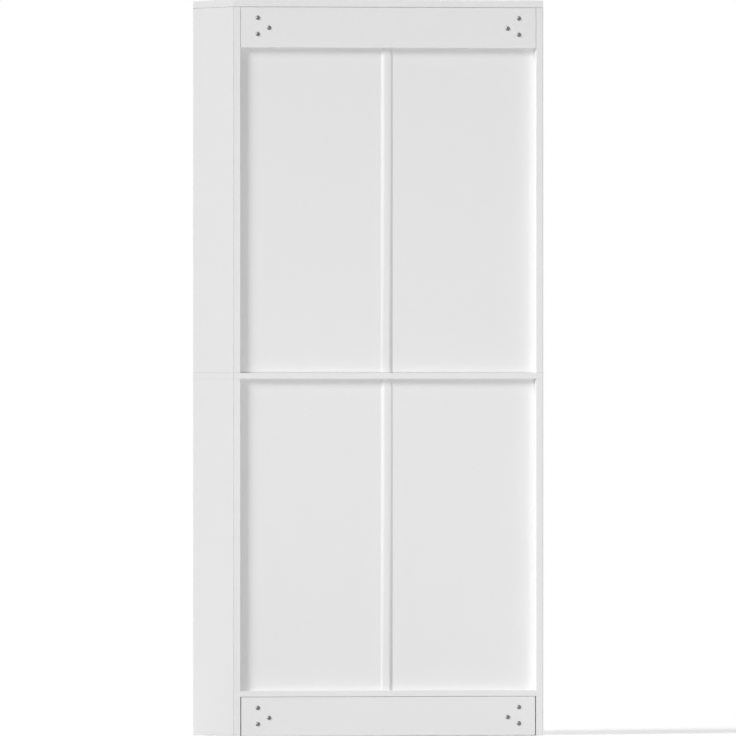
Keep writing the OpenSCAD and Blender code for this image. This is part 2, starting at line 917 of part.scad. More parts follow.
module case_hinge_screws() {
    color(steel)
        on_both_sides()
            for (z = hinge_zs)
                case_leaf_screws(z)
                    wood_screw(hinge_screw_head_r, hinge_screw_r, hinge_screw_len);
}

// Pins with a low head at each end of the barrel
module hinge_pins() {
    color(steel)
        on_both_sides()
            for (z = hinge_zs)
                translate([hinge_x, hinge_y, z])
                    union() {
                        bar_z(hinge_pin_d / 2, hinge_h, [0, 0, -hinge_h / 2]);
                        for (end = [1, -1])
                            translate([0, 0, end * hinge_h / 2])
                                rotate([end > 0 ? 0 : 180, 0, 0])
                                    cylinder(r1 = barrel_r - 0.3, r2 = barrel_r - 1.2, h = pin_head_h);
                    }
}

module door_hinge_leaves() {
    color(steel)
        for (z = hinge_zs)
            difference() {
                translate([hinge_x, hinge_y, z])
                    mirror([1, 0, 0])
                        hinge_leaf([-1, 1], [-2, 0, 2]);
                door_leaf_screws(z)
                    screw_seat(hinge_screw_head_r, hinge_screw_r, hinge_screw_len);
            }
}

module door_hinge_screws() {
    color(steel)
        for (z = hinge_zs)
            door_leaf_screws(z)
                wood_screw(hinge_screw_head_r, hinge_screw_r, hinge_screw_len);
}

// Door frame: the stiles run full height, and the rails' tongues sit in the stiles' grooves
module door_hinge_stile() {
    color(paint)
        difference() {
            block([rail_x1, door_x1], [y_front, door_y1], [door_z0, door_z1]);
            block([rail_x1 - cut, rail_x1 + door_groove_depth], door_slot_cut, [
                door_z0 - cut, door_z1 + cut
            ]);
            for (z = hinge_zs) {
                block(
                    [door_x1 - mortise_depth, door_x1 + cut], [y_front - cut, y_front + leaf_w],
                    [z - hinge_h / 2, z + hinge_h / 2]
                );
                door_leaf_screws(z)
                    screw_seat(hinge_screw_head_r, hinge_screw_r, hinge_screw_len);
            }
        }
}

module door_meeting_stile() {
    color(paint)
        difference() {
            block([door_x0, rail_x0], [y_front, door_y1], [door_z0, door_z1]);
            block([rail_x0 - door_groove_depth, rail_x0 + cut], door_slot_cut, [
                door_z0 - cut, door_z1 + cut
            ]);
            bar_y(knob_screw_r + fit_play, door_t + 2 * cut, [knob_x, y_front - cut, knob_z]);
            strike_place()
                screw_seat(strike_screw_head_r, strike_screw_r, strike_screw_len);
        }
}

// Rail from z0 to z1; its groove opens up or down towards the panel
module door_rail(z0, z1, groove_up) {
    z_groove = groove_up ? [z1 - door_groove_depth, z1 + cut] : [z0 - cut, z0 + door_groove_depth];
    z_tongue = groove_up ? [z0, z1 - door_groove_depth] : [z0 + door_groove_depth, z1];
    color(paint)
        union() {
            difference() {
                block([rail_x0, rail_x1], [y_front, door_y1], [z0, z1]);
                block([rail_x0 - cut, rail_x1 + cut], door_slot_cut, z_groove);
            }
            block([rail_x0 - door_tongue, rail_x1 + door_tongue], door_slot, z_tongue);
        }
}

module door_top_rail() {
    door_rail(door_z1 - frame_w, door_z1, false);
}

module door_bottom_rail() {
    door_rail(door_z0, door_z0 + frame_w, true);
}

module door_panel() {
    color(paint)
        block(
            [rail_x0 - door_panel_reach, rail_x1 + door_panel_reach], door_slot,
            [door_z0 + frame_w - door_panel_reach, door_z1 - frame_w + door_panel_reach]
        );
}

// Turned knob: a foot, a waist and a mushroom head with a shallow dome
module door_knob() {
    head_r = knob_d / 2;
    dome_h = 0.2 * knob_d;
    z_rim = knob_out - dome_h;
    dome_r = (head_r ^ 2 + dome_h ^ 2) / (2 * dome_h);
    color(steel)
        translate([knob_x, y_front, knob_z])
            rotate([90, 0, 0])
                difference() {
                    rotate_extrude()
                        union() {
                            polygon([
                                [0, 0], [0.27 * knob_d, 0], [0.27 * knob_d, 1.5],
                                [0.22 * knob_d, 2.5], [0.18 * knob_d, z_rim / 2],
                                [0.24 * knob_d, 0.7 * z_rim], [0.46 * knob_d, z_rim - 2],
                                [head_r, z_rim - 1], [head_r, z_rim], [0, z_rim],
                            ]);
                            intersection() {
                                translate([0, knob_out - dome_r])
                                    circle(r = dome_r, $fn = 96);
                                translate([0, z_rim - 0.5])
                                    square([head_r, dome_h + 0.5]);
                            }
                        }
                    bar_z(knob_screw_r, knob_thread + 1 + cut, [0, 0, -cut]);
                }
}

// Pan-head screw from the back of the door into the knob
module door_knob_screw() {
    head_r = 4;
    head_h = 2.2;
    color(steel)
        translate([knob_x, door_y1, knob_z])
            rotate([-90, 0, 0])
                rotate_extrude()
                    polygon([
                        [0, -door_t - knob_thread], [knob_screw_r - thread_play, -door_t - knob_thread],
                        [knob_screw_r - thread_play, 0], [head_r, 0], [head_r, head_h - 0.8],
                        [head_r - 1, head_h], [0, head_h],
                    ]);
}

// Middle of a strike plate's outer face, with the screw pointing into the door
module strike_place() {
    translate([catch_x, door_y1 + strike_t, strike_z])
        rotate([-90, 0, 0])
            children();
}

module door_strike_plate() {
    color(steel)
        difference() {
            block(
                [catch_x - strike_w / 2, catch_x + strike_w / 2], [door_y1, door_y1 + strike_t],
                [strike_z - strike_h / 2, strike_z + strike_h / 2]
            );
            strike_place()
                screw_seat(strike_screw_head_r, strike_screw_r, strike_screw_len);
        }
}

module door_strike_screw() {
    color(steel)
        strike_place()
            wood_screw(strike_screw_head_r, strike_screw_r, strike_screw_len);
}

// Double magnetic catch: a housing with two pockets for magnets, screwed under the middle shelf
module catch_housing() {
    color("whitesmoke")
        difference() {
            block([-catch_w / 2, catch_w / 2], [catch_y0, catch_y0 + catch_depth], [
                lower_h - catch_h, lower_h
            ]);
            on_both_sides() {
                block(
                    [catch_x - magnet_w / 2 - fit_play, catch_x + magnet_w / 2 + fit_play],
                    [catch_y0 - cut, catch_y0 + magnet_depth + fit_play],
                    [catch_z - magnet_h / 2 - fit_play, catch_z + magnet_h / 2 + fit_play]
                );
                translate([catch_screw_x, catch_y0 + catch_depth / 2, lower_h - catch_h])
                    rotate([180, 0, 0])
                        screw_seat(catch_screw_head_r, catch_screw_r, catch_screw_len);
            }
        }
}

module catch_magnets() {
    color("dimgray")
        on_both_sides()
            block(
                [catch_x - magnet_w / 2, catch_x + magnet_w / 2],
                [catch_y0, catch_y0 + magnet_depth],
                [catch_z - magnet_h / 2, catch_z + magnet_h / 2]
            );
}

module catch_screws() {
    color(steel)
        on_both_sides()
            translate([catch_screw_x, catch_y0 + catch_depth / 2, lower_h - catch_h])
                rotate([180, 0, 0])
                    wood_screw(catch_screw_head_r, catch_screw_r, catch_screw_len);
}

top_panel();
middle_shelf();
bottom_shelf();
front_plinth();
on_side(-1) upper_side();  // side_panel_upper_left
on_side(1) upper_side();  // side_panel_upper_right
on_side(-1) lower_side();  // side_panel_lower_left
on_side(1) lower_side();  // side_panel_lower_right
back_rail_top();
back_rail_bottom();
on_side(-1) upper_back_panel();  // back_panel_upper_left
on_side(1) upper_back_panel();  // back_panel_upper_right
on_side(-1) lower_back_panel();  // back_panel_lower_left
on_side(1) lower_back_panel();  // back_panel_lower_right
joiner_strip_upper();
joiner_strip_lower();
on_side(-1) top_rail_bracket();  // rail_bracket_top_left
on_side(1) top_rail_bracket();  // rail_bracket_top_right
on_side(-1) bottom_rail_bracket();  // rail_bracket_bottom_left
on_side(1) bottom_rail_bracket();  // rail_bracket_bottom_right
rail_bolts();
bracket_screws();
adjustable_shelf(upper_front_y, z_upper_low);  // adjustable_shelf_upper_low
adjustable_shelf(upper_front_y, z_upper_high);  // adjustable_shelf_upper_high
adjustable_shelf(lower_front_y, z_lower);  // adjustable_shelf_lower
shelf_pins();
cam_locks();
cam_bolts();
through_bolts();
wood_dowels();
case_hinge_leaves();
hinge_pins();
case_hinge_screws();
catch_housing();
catch_magnets();
catch_screws();
on_side(-1) door_hinge_stile();  // door_left_hinge_stile
on_side(-1) door_meeting_stile();  // door_left_meeting_stile
on_side(-1) door_top_rail();  // door_left_top_rail
on_side(-1) door_bottom_rail();  // door_left_bottom_rail
on_side(-1) door_panel();  // door_left_panel
on_side(-1) door_knob();  // door_left_knob
on_side(-1) door_knob_screw();  // door_left_knob_screw
on_side(-1) door_hinge_leaves();  // door_left_hinge_leaves
on_side(-1) door_hinge_screws();  // door_left_hinge_screws
on_side(-1) door_strike_plate();  // door_left_strike_plate
on_side(-1) door_strike_screw();  // door_left_strike_screw
on_side(1) door_hinge_stile();  // door_right_hinge_stile
on_side(1) door_meeting_stile();  // door_right_meeting_stile
on_side(1) door_top_rail();  // door_right_top_rail
on_side(1) door_bottom_rail();  // door_right_bottom_rail
on_side(1) door_panel();  // door_right_panel
on_side(1) door_knob();  // door_right_knob
on_side(1) door_knob_screw();  // door_right_knob_screw
on_side(1) door_hinge_leaves();  // door_right_hinge_leaves
on_side(1) door_hinge_screws();  // door_right_hinge_screws
on_side(1) door_strike_plate();  // door_right_strike_plate
on_side(1) door_strike_screw();  // door_right_strike_screw
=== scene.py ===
# %% [markdown]
# # A white bookcase, seen from behind
# The real object is a tall flat-packed bookcase: white boards, thin back panels held by plastic
# joiner strips, two back rails with domed bolts, and a pair of framed doors on the front.
# Every board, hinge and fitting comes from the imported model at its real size. Blender adds what
# is too fine for the solids: coatings, plated metal, threads on the screws and softened edges.
# It also adds the studio round the bookcase.

import json
import math

import bmesh
import bpy
from mathutils import Matrix, Vector


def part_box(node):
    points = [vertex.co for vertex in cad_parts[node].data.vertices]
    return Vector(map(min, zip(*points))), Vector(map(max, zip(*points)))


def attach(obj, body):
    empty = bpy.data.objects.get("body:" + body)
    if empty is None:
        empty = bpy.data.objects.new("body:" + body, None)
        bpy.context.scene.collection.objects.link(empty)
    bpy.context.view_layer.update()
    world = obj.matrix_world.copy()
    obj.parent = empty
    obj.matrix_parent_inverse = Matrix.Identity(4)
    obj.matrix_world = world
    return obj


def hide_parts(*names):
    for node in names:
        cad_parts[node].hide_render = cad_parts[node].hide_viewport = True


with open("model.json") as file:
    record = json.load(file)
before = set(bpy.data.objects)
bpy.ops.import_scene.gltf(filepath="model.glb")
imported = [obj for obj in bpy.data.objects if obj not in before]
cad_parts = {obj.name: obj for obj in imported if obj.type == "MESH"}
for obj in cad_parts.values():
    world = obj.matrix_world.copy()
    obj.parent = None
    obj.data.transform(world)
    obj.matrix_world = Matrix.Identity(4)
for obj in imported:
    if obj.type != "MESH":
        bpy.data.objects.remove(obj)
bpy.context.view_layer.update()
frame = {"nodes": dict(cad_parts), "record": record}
nodes = frame["nodes"]
MM = 0.001
print("packed nodes:", len(nodes))

# %% [markdown]
# The top panel covers the whole width and depth of the case and lies at its full height, so its
# two corners give the size of the case. Typed numbers would do until the bookcase is made wider
# or taller. Measured ones let the camera and the joint lines follow it.

# %% Measure the case
case_low, case_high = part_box("top_panel")
half_width = case_high.x
front_y = case_low.y
back_y = case_high.y
height = case_high.z
middle = Vector((0, (front_y + back_y) / 2, height / 2))
print("case:", round(2 * half_width, 3), round(back_y - front_y, 3), round(height, 3))

# %% [markdown]
# The view looks at the back, turned a little so that one side shows as a narrow strip.
# Upright and level edges stay parallel in it, which a camera only sees from very far away, so
# this one has a very long lens. An orthographic camera would do the same, but a long lens keeps
# working when another view moves the camera.

# %% Set up the camera
TURN = math.radians(15.57)
LENS_MM = 1500
SENSOR_MM = 36
NEAREST_M = 1
FARTHEST_M = 300

camera_data = bpy.data.cameras.new("camera")
camera_data.lens = LENS_MM
camera_data.sensor_width = SENSOR_MM
camera_data.clip_start = NEAREST_M
camera_data.clip_end = FARTHEST_M
camera = bpy.data.objects.new("camera", camera_data)
bpy.context.scene.collection.objects.link(camera)
bpy.context.scene.camera = camera

towards_camera = Vector((math.sin(TURN), math.cos(TURN), 0))
back_nearer = towards_camera.dot(Vector((0, back_y, 0)) - Vector((0, middle.y, 0)))
distance = height * LENS_MM / SENSOR_MM + back_nearer
camera.location = middle + towards_camera * distance
camera.rotation_mode = "QUATERNION"
camera.rotation_quaternion = (-towards_camera).to_track_quat("-Z", "Y")
print("camera distance:", round(distance, 2), "m")

# %% [markdown]
# A finish is a small network of shader nodes. It could be drawn by hand in the node editor, but
# its sums read best as plain Python. So `Signal` wraps one output of a node and gives it the
# usual operators: `1 - mask` adds a Math node by itself.

# %% A signal that can be used in sums
class Signal:
    """One output of a shader node, used in sums like a number."""

    def __init__(self, finish, socket):
        self.finish = finish
        self.socket = socket

    def maths(self, operation, *values):
        return self.finish.node("ShaderNodeMath", {"operation": operation}, dict(enumerate(values)))

    def __add__(self, other):
        return self.maths("ADD", self, other)

    def __radd__(self, other):
        return self.maths("ADD", other, self)

    def __sub__(self, other):
        return self.maths("SUBTRACT", self, other)

    def __rsub__(self, other):
        return self.maths("SUBTRACT", other, self)

    def __mul__(self, other):
        return self.maths("MULTIPLY", self, other)

    def __rmul__(self, other):
        return self.maths("MULTIPLY", other, self)

    def __abs__(self):
        return self.maths("ABSOLUTE", self)

    def __lt__(self, other):
        return self.maths("LESS_THAN", self, other)

    def __gt__(self, other):
        return self.maths("GREATER_THAN", self, other)

    def at_least(self, other):
        return self.maths("MAXIMUM", self, other)


print("a signal can be used in sums")

# %% [markdown]
# `Finish` is the network itself, and its method `node` adds every node that isn't a sum. There
# could be a function for each kind of node, but all of them are made in the same order: the
# kind, then its settings, which may change its sockets, then the values or links of the sockets.

# %% A finish that is built node by node
class Finish:
    """A node tree under construction, for a material or for the world."""

    def __init__(self, tree):
        self.tree = tree
        tree.nodes.clear()

    def node(self, kind, settings=None, inputs=None, output=0):
        """Add a node of this kind and give back one of its outputs, if it has any."""
        made = self.tree.nodes.new(kind)
        for name, value in (settings or {}).items():
            setattr(made, name, value)
        for name, value in (inputs or {}).items():
            if isinstance(value, Signal):
                self.tree.links.new(value.socket, made.inputs[name])
            else:
                made.inputs[name].default_value = value
        return Signal(self, made.outputs[output]) if made.outputs else None

    def axes(self, vector):
        """The X, Y and Z of a vector as three signals."""
        split = self.node("ShaderNodeSeparateXYZ", inputs={0: vector})
        return [Signal(self, socket) for socket in split.socket.node.outputs]


print("a finish can be built node by node")

# %% [markdown]
# Every finish here is made of the same few things: the place of a point on the bookcase, noises
# of a known real size, a grey colour, fine hills and one surface shader. Each gets a short
# function, so that a finish reads as a list of what it is made of.

# %% What every finish is made of
WHITE = (1, 1, 1, 1)
NOISE_MIDDLE = 0.5


def start_material(name):
    material = bpy.data.materials.new(name)
    material.use_nodes = True
    return material, Finish(material.node_tree)


def place_on_bookcase(finish):
    return finish.node("ShaderNodeTexCoord", output="Object")


def stretched(finish, place, times):
    """Places for a noise that comes out this many times longer along X, Y and Z."""
    return finish.node("ShaderNodeVectorMath", {"operation": "DIVIDE"}, {0: place, 1: times})


def noise(finish, place, per_metre, detail, roughness=0.5, distortion=0.0):
    """A cloudy pattern from 0 to 1, with about this many spots to a metre."""
    return finish.node("ShaderNodeTexNoise", inputs={
        "Vector": place, "Scale": per_metre, "Detail": detail,
        "Roughness": roughness, "Distortion": distortion,
    })


def swing(pattern, amount):
    """The pattern moved to swing about 0, by half the amount to either side at most."""
    return amount * (pattern - NOISE_MIDDLE)


def grey(finish, tone):
    return finish.node("ShaderNodeCombineColor", inputs={0: tone, 1: tone, 2: tone})


def hills(finish, pattern, height_mm, below=None):
    """A bump with hills of this height, on top of the bump below it if there is one."""
    inputs = {"Strength": 1.0, "Distance": height_mm * MM, "Height": pattern}
    if below is not None:
        inputs["Normal"] = below
    return finish.node("ShaderNodeBump", inputs=inputs)


def add_surface(finish, inputs):
    surface = finish.node("ShaderNodeBsdfPrincipled", inputs=inputs)
    finish.node("ShaderNodeOutputMaterial", inputs={"Surface": surface})


print("a noise swings about", NOISE_MIDDLE)

# %% [markdown]
# Round the bookcase there is nothing but white. It could be a dome of mesh, but the world's own
# background needs none. It looks white to the camera and in reflections and lights the boards
# less than it looks, so that white boards keep their shading in front of a white ground.

# %% Hang a white sky
SKY_LIGHT = 0.25


def seen_ray(finish):
    """1 for what the camera sees, straight or in metal and glass, and 0 for a ray of light."""
    seen = finish.node("ShaderNodeLightPath", output="Is Camera Ray")
    rays = seen.socket.node.outputs
    for name in ("Is Glossy Ray", "Is Transmission Ray"):
        seen = seen.at_least(Signal(finish, rays[name]))
    return seen


world = bpy.data.worlds.new("studio")
bpy.context.scene.world = world
world.use_nodes = True
sky = Finish(world.node_tree)
strength = seen_ray(sky) * (1 - SKY_LIGHT) + SKY_LIGHT
glow = sky.node("ShaderNodeBackground", inputs={"Color": WHITE, "Strength": strength})
sky.node("ShaderNodeOutputWorld", inputs={"Surface": glow})
bpy.context.scene.view_settings.view_transform = "Standard"
print("light of the sky:", SKY_LIGHT)

# %% [markdown]
# Three soft lamps do the rest. The key lamp is far away, beside the bookcase and a little behind
# it, and makes the shadows along the recessed back panels. A large panel lamp stands low behind
# the bookcase, and because it is near, the foot of the back gets more light than the top, which a
# far lamp can't do. It gives no reflection, which would bleach the sides of the bookcase when
# they are seen at a slant. A third, far lamp lights the doors.

# %% Place the lamps
FAR_LAMPS = {
    # where the light comes from, how light it makes white paint, its width in degrees
    "key": (Vector((1.77, 1.0, 0.87)), 0.69, 20),
    "doors": (Vector((-1.0, -1.6, 1.3)), 0.58, 40),
}
PANEL_PLACE = Vector((0.4, 4.0, 0.45))
PANEL_SIZE = (4.0, 0.8)
PANEL_LIGHT = 0.345


def add_lamp(name, kind, comes_from, energy):
    data = bpy.data.lights.new(name, kind)
    data.energy = energy
    lamp = bpy.data.objects.new(name, data)
    bpy.context.scene.collection.objects.link(lamp)
    lamp.rotation_mode = "QUATERNION"
    lamp.rotation_quaternion = comes_from.to_track_quat("Z", "Y")
    return lamp


# In all three, light is about what white paint that faces the lamp gets from it, 1 being white
for name, (comes_from, light, width_degrees) in FAR_LAMPS.items():
    add_lamp(name, "SUN", comes_from, math.pi * light).data.angle = math.radians(width_degrees)

from_back = PANEL_PLACE - Vector((0, back_y, PANEL_PLACE.z))
panel_power = math.pi ** 2 * PANEL_LIGHT * from_back.length_squared
panel = add_lamp("panel", "AREA", from_back, panel_power)
panel.location = PANEL_PLACE
panel.data.shape = "RECTANGLE"
panel.data.size, panel.data.size_y = PANEL_SIZE
panel.visible_camera = False
panel.visible_glossy = False
print("lamps:", ", ".join(lamp.name for lamp in bpy.data.lights))

# %% [markdown]
# The floor keeps the shadow of the bookcase and throws light back up at it. A square sheet would
# do, but a disc ends at the same distance all round, so it can fade away evenly.

# %% Lay the floor
FLOOR_RADIUS = 12
FLOOR_CORNERS = 128

floor_mesh = bpy.data.meshes.new("floor")
shape = bmesh.new()
bmesh.ops.create_circle(shape, cap_ends=True, segments=FLOOR_CORNERS, radius=FLOOR_RADIUS)
shape.to_mesh(floor_mesh)
shape.free()
floor = bpy.data.objects.new("floor", floor_mesh)
bpy.context.scene.collection.objects.link(floor)
print("floor radius:", FLOOR_RADIUS, "m")

# %% [markdown]
# The floor has smooth pale paint with a faint speckle. What the camera sees of it is lifted
# towards white, and from three metres out it is white altogether, because the floor has to end
# without an edge against the white sky. More light would whiten it too, but the bookcase with
# it. The paint shows on the upper face only: a view from below at the foot of the bookcase looks
# straight through it.

# %% Paint the floor
# The first colour throws light back at the bookcase, and the second is what the camera sees
FLOOR_COLOUR = 0.42
SEEN_COLOUR = 0.97
SPECKLE = 0.01
FLOOR_LIFT = 0.17
FADE_FROM = 1.2
FADE_TO = 3.0

floor_material, paint = start_material("floor_paint")
direct = seen_ray(paint)
place = place_on_bookcase(paint)
speckle = noise(paint, place, per_metre=3.0, detail=4.0)
tone = FLOOR_COLOUR + SPECKLE * speckle + direct * (SEEN_COLOUR - FLOOR_COLOUR)
coat = paint.node("ShaderNodeBsdfPrincipled", inputs={
    "Base Color": grey(paint, tone), "Roughness": 0.9, "Specular IOR Level": 0.0,
})
lift = paint.node("ShaderNodeEmission", inputs={"Color": WHITE, "Strength": direct * FLOOR_LIFT})
both = paint.node("ShaderNodeAddShader", inputs={0: coat, 1: lift})
radius = paint.node("ShaderNodeVectorMath", {"operation": "LENGTH"}, {0: place}, "Value")
fade = paint.node("ShaderNodeMapRange", {"interpolation_type": "SMOOTHSTEP"}, {
    "Value": radius, "From Min": FADE_FROM, "From Max": FADE_TO,
})
white = paint.node("ShaderNodeEmission", inputs={"Color": WHITE, "Strength": 1.0})
seen_floor = paint.node("ShaderNodeMixShader", inputs={0: fade * direct, 1: both, 2: white})
from_below = paint.node("ShaderNodeNewGeometry", output="Backfacing")
open_air = paint.node("ShaderNodeBsdfTransparent")
one_sided = paint.node("ShaderNodeMixShader", inputs={0: from_below, 1: seen_floor, 2: open_air})
paint.node("ShaderNodeOutputMaterial", inputs={"Surface": one_sided})
floor_mesh.materials.append(floor_material)
print("floor fades from", FADE_FROM, "to", FADE_TO, "m")

# %% [markdown]
# Where two boards meet, the shade in the thin gap between them is painted into the film as a dark
# line. On the narrow edges of a side panel, the glue between face film and edge band shows as a
# finer line. They are from a third of a millimetre to a millimetre and a half wide. Gaps and
# grooves that fine could be modelled, but every board would have to be cut for them, so the lines
# are drawn
# by masks on the place of a point: 1 on the line, 0 elsewhere. A face's normal tells the narrow
# edges from the large faces.

# %% Masks for the painted shade in the joints and for the glue lines
# A face counts as facing along an axis when that much of its normal points along it
FACING = 0.9
GLUE_INSET_MM = 0.9
# A line over the whole width runs a little past it, so that it reaches round both sides
OVERRUN = 1.01

under_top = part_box("side_panel_upper_right")[1].z
rail_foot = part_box("back_rail_top")[0].z
whole_width = OVERRUN * half_width
between_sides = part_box("bottom_shelf")[1].x

# Painted shade in the joints between boards, one line for each level joint
JOINT_SHADE_LINES = [
    # how high the line is, its half width in mm, how dark it is, how far it runs along X
    (under_top, 0.4, 0.8, whole_width),
    (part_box("middle_shelf")[1].z, 0.2, 0.7, whole_width),
    (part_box("side_panel_lower_right")[1].z, 0.15, 0.5, whole_width),
    (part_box("bottom_shelf")[0].z, 0.5, 0.7, between_sides),
]
# The upright lines are alike: their distance from the middle, half width in mm, how dark.
# The first is painted shade in the gap beside each end of the top rail, the second the glue line
RAIL_GAP_SHADE = (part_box("back_rail_top")[1].x, 0.7, 0.9)
GLUE = (half_width - GLUE_INSET_MM * MM, 0.26, 0.8)


def line(signal, at, half_mm, dark):
    return (abs(signal - at) < half_mm * MM) * dark


def glue_lines_and_joint_shade(film, place):
    """How much darker a point of a board is, from 0 to 1: glue lines and painted shade in joints.
    """
    x, y, z = film.axes(place)
    along, up = film.axes(film.node("ShaderNodeTexCoord", output="Normal"))[1:]
    narrow_edge = abs(along) > FACING
    below_top = z < under_top
    beside_rail = z > rail_foot
    dark = line(abs(x), *GLUE) * narrow_edge * below_top
    # Painted shade in the gap beside each end of the top rail
    dark = dark.at_least(line(abs(x), *RAIL_GAP_SHADE) * narrow_edge * beside_rail * below_top)
    for at, half_mm, amount, reach in JOINT_SHADE_LINES:
        # Painted shade in a level joint between two boards
        joint_shade = line(z, at, half_mm, amount) * (abs(up) < FACING) * (abs(x) < reach)
        dark = dark.at_least(joint_shade)
    return dark


print("joints at", [round(row[0], 3) for row in JOINT_SHADE_LINES])

# %% [markdown]
# All the boards share one kind of finish: a white film over smooth board. Close up it has a very
# fine orange-peel texture, a slow waviness from the chips below and a satin sheen that varies a
# little. An image could carry this, but it would have to be wrapped round every board. A noise
# fills space, so it needs no wrapping. Each has its own real scale, in metres, because the packed
# model is in metres.

# %% White coating for boards
# How far the slow clouds and the fine peel change the tone and the roughness
CLOUD_TONE = 0.012
PEEL_TONE = 0.01
CLOUD_ROUGHNESS = 0.1
PEEL_ROUGHNESS = 0.06
FILM_GLOSS = 0.25


def coating(name, white, roughness, peel_mm, peel_height_mm, wave_height_mm, glue_and_shade_lines=None):
    """A white film: peel is the size of its fine texture, wave the depth of the slow one."""
    material, film = start_material(name)
    place = place_on_bookcase(film)
    peel = noise(film, place, per_metre=1 / (peel_mm * MM), detail=2.0, roughness=0.55)
    wave = noise(film, place, per_metre=28.0, detail=2.0)
    cloud = noise(film, place, per_metre=5.0, detail=4.0)
    tone = white + swing(cloud, CLOUD_TONE) + swing(peel, PEEL_TONE)
    # The glue lines and the painted shade in the joints darken the tone
    if glue_and_shade_lines:
        tone = tone * (1 - glue_and_shade_lines(film, place))
    add_surface(film, {
        "Base Color": grey(film, tone),
        "Roughness": roughness + swing(cloud, CLOUD_ROUGHNESS) + swing(peel, PEEL_ROUGHNESS),
        "Normal": hills(film, peel, peel_height_mm, hills(film, wave, wave_height_mm)),
        "Specular IOR Level": FILM_GLOSS,
    })
    return material


finishes = {
    "white_board": coating(
        "white_foil", white=0.85, roughness=0.42,
        peel_mm=0.9, peel_height_mm=0.012, wave_height_mm=0.03, glue_and_shade_lines=glue_lines_and_joint_shade,
    ),
    "back_board": coating(
        "white_hardboard", white=0.85, roughness=0.5,
        peel_mm=1.6, peel_height_mm=0.02, wave_height_mm=0.05,
    ),
    "door_paint": coating(
        "white_paint", white=0.85, roughness=0.36,
        peel_mm=1.3, peel_height_mm=0.015, wave_height_mm=0.02,
    ),
    "strip_plastic": coating(
        "white_strip", white=0.85, roughness=0.38,
        peel_mm=0.6, peel_height_mm=0.006, wave_height_mm=0.01,
    ),
    "catch_plastic": coating(
        "white_moulding", white=0.83, roughness=0.34,
        peel_mm=0.7, peel_height_mm=0.01, wave_height_mm=0.0,
    ),
}
print("coatings:", ", ".join(finishes))

# %% [markdown]
# The metal parts are steel with a plated or darkened skin. Rolled sheet has fine straight
# scratches, a brushed knob has streaks along its stem, and a screw or bolt from a bag has a
# slightly cloudy skin. The shader's own anisotropy would hint at scratches but never show one, so
# one function makes them all by stretching a noise along the way the scratches run.

# %% Plated steel
# The tint is scaled by the dullest value and by what the clouds and the scratches add to it
DULLEST = 0.92
CLOUD_SHINE = 0.1
SCRATCH_SHINE = 0.06
HAZE_ROUGHNESS = 0.12
SCRATCH_ROUGHNESS = 0.1


def metal(name, tint, roughness, stretch, scratch_mm, depth_mm):
    """Metal with scratches scratch_mm apart; stretch is how much longer they are along X, Y, Z."""
    material, plate = start_material(name)
    place = place_on_bookcase(plate)
    along_scratch = stretched(plate, place, stretch)
    scratches = noise(
        plate, along_scratch, per_metre=1 / (scratch_mm * MM), detail=3.0, roughness=0.6,
    )
    cloud = noise(plate, place, per_metre=160.0, detail=3.0)
    shine = DULLEST + CLOUD_SHINE * cloud + SCRATCH_SHINE * scratches
    colour = plate.node("ShaderNodeVectorMath", {"operation": "SCALE"}, {0: tint, "Scale": shine})
    add_surface(plate, {
        "Base Color": colour,
        "Metallic": 1.0,
        "Roughness": (
            roughness + swing(cloud, HAZE_ROUGHNESS) + swing(scratches, SCRATCH_ROUGHNESS)
        ),
        "Normal": hills(plate, scratches, depth_mm),
    })
    return material


finishes["fastener_steel"] = metal(
    "zinc_screw", tint=(0.42, 0.42, 0.43), roughness=0.3,
    stretch=(1, 1, 1), scratch_mm=0.5, depth_mm=0.004,
)
finishes["bolt_steel"] = metal(
    "dark_bolt", tint=(0.22, 0.22, 0.225), roughness=0.42,
    stretch=(1, 1, 1), scratch_mm=0.5, depth_mm=0.003,
)
finishes["bracket_steel"] = metal(
    "zinc_sheet", tint=(0.5, 0.5, 0.51), roughness=0.38,
    stretch=(1, 1, 30), scratch_mm=0.3, depth_mm=0.004,
)
finishes["knob_metal"] = metal(
    "satin_nickel", tint=(0.56, 0.55, 0.53), roughness=0.3,
    stretch=(1, 12, 1), scratch_mm=0.25, depth_mm=0.003,
)
print("finishes so far:", len(finishes))

# %% [markdown]
# Beech dowels and the ferrite magnets are small and mostly hidden, but an open door shows the
# magnets, and a bookcase taken apart shows the dowels. Plain colours would make both look like
# plastic. One stretched noise mixes two browns into a grain, and one very fine noise pits the
# magnets.

# %% Beech and ferrite
DARK_BEECH = (0.50, 0.31, 0.16, 1)
LIGHT_BEECH = (0.72, 0.53, 0.33, 1)
GRAIN_STRETCH = (1, 1, 9)
FERRITE_GREY = 0.035

# A Mix node has sockets for numbers, vectors and colours, and these are the ones for colours
MIX_FACTOR = 0
MIX_FIRST = 6
MIX_SECOND = 7
MIX_RESULT = 2


def beech():
    material, wood = start_material("beech")
    along_grain = stretched(wood, place_on_bookcase(wood), GRAIN_STRETCH)
    grain = noise(wood, along_grain, per_metre=900.0, detail=4.0, distortion=0.4)
    colour = wood.node("ShaderNodeMix", {"data_type": "RGBA"}, {
        MIX_FACTOR: grain, MIX_FIRST: DARK_BEECH, MIX_SECOND: LIGHT_BEECH,
    }, MIX_RESULT)
    add_surface(wood, {
        "Base Color": colour,
        "Roughness": 0.55 + 0.1 * grain,
        "Normal": hills(wood, grain, height_mm=0.1),
    })
    return material


def ferrite():
    material, stone = start_material("ferrite")
    pits = noise(stone, place_on_bookcase(stone), per_metre=2500.0, detail=3.0)
    add_surface(stone, {
        "Base Color": grey(stone, FERRITE_GREY + 0.03 * pits),
        "Roughness": 0.5 + 0.2 * pits,
        "Normal": hills(stone, pits, height_mm=0.05),
    })
    return material


finishes["beech_dowel"] = beech()
finishes["magnet"] = ferrite()
print("finishes in all:", len(finishes))

